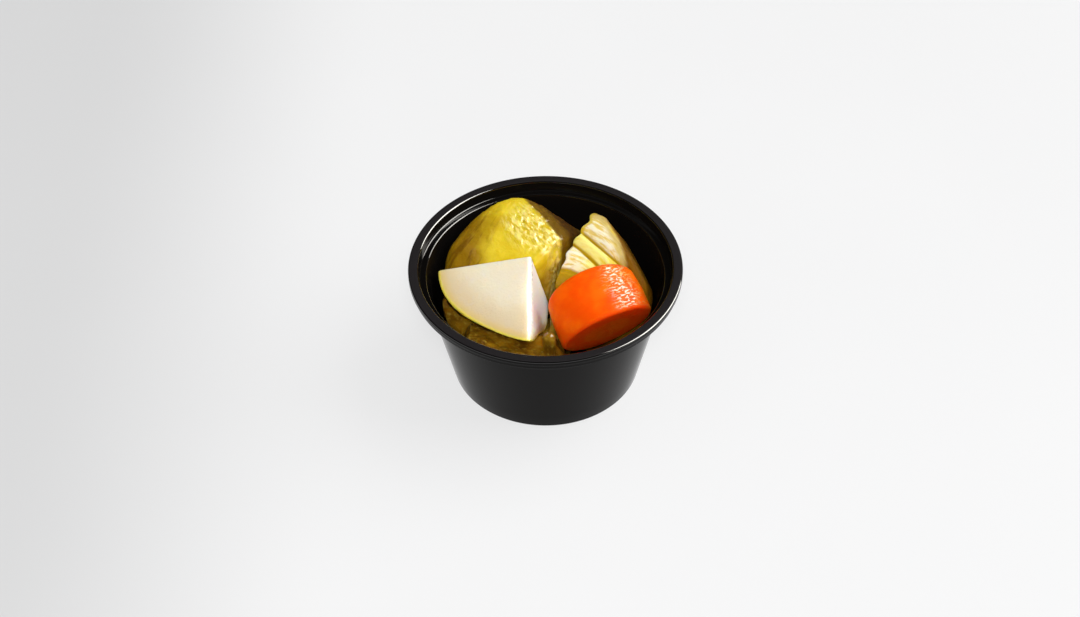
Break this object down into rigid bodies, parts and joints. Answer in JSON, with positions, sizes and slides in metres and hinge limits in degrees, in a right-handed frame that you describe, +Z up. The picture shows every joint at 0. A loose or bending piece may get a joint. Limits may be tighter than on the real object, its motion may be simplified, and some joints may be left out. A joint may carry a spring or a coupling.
{
  "type": "bowl of pickles",
  "caption": "Small round black plastic cup with a ledged rim, filled with chunky mixed pickles: radish wedge, carrot chunk and folded cabbage leaves.",
  "frame": {"origin": "centre of the cup's foot, on the surface it stands on", "axes": "+Z up through the cup's mouth, +X to the right and -Y to the front of the bowl"},
  "size_m": [0.0744, 0.0744, 0.0385],
  "materials": {
    "cup": "moulded black polypropylene, semi-gloss, with a satin rim",
    "radish_wedge": "moist cream-white root flesh, translucent, with a thin yellow rind edge",
    "carrot_chunk": "wet orange root flesh with darker red-orange cut ends",
    "cabbage_bundle": "wet, wrinkled yellow-green pickled leaf",
    "cabbage_wedge": "wet, cream to yellow-green layered leaf ribs",
    "cabbage_front": "wet olive-brown pickled leaf",
    "cabbage_left": "wet olive-brown pickled leaf",
    "cabbage_middle": "wet dark olive pickled leaf"
  },
  "bodies": {
    "root": {"cup": "cup", "radish_wedge": "radish_wedge", "carrot_chunk": "carrot_chunk", "cabbage_bundle": "cabbage_bundle", "cabbage_wedge": "cabbage_wedge", "cabbage_front": "cabbage_front", "cabbage_left": "cabbage_left", "cabbage_middle": "cabbage_middle"}
  },
  "joints": []
}
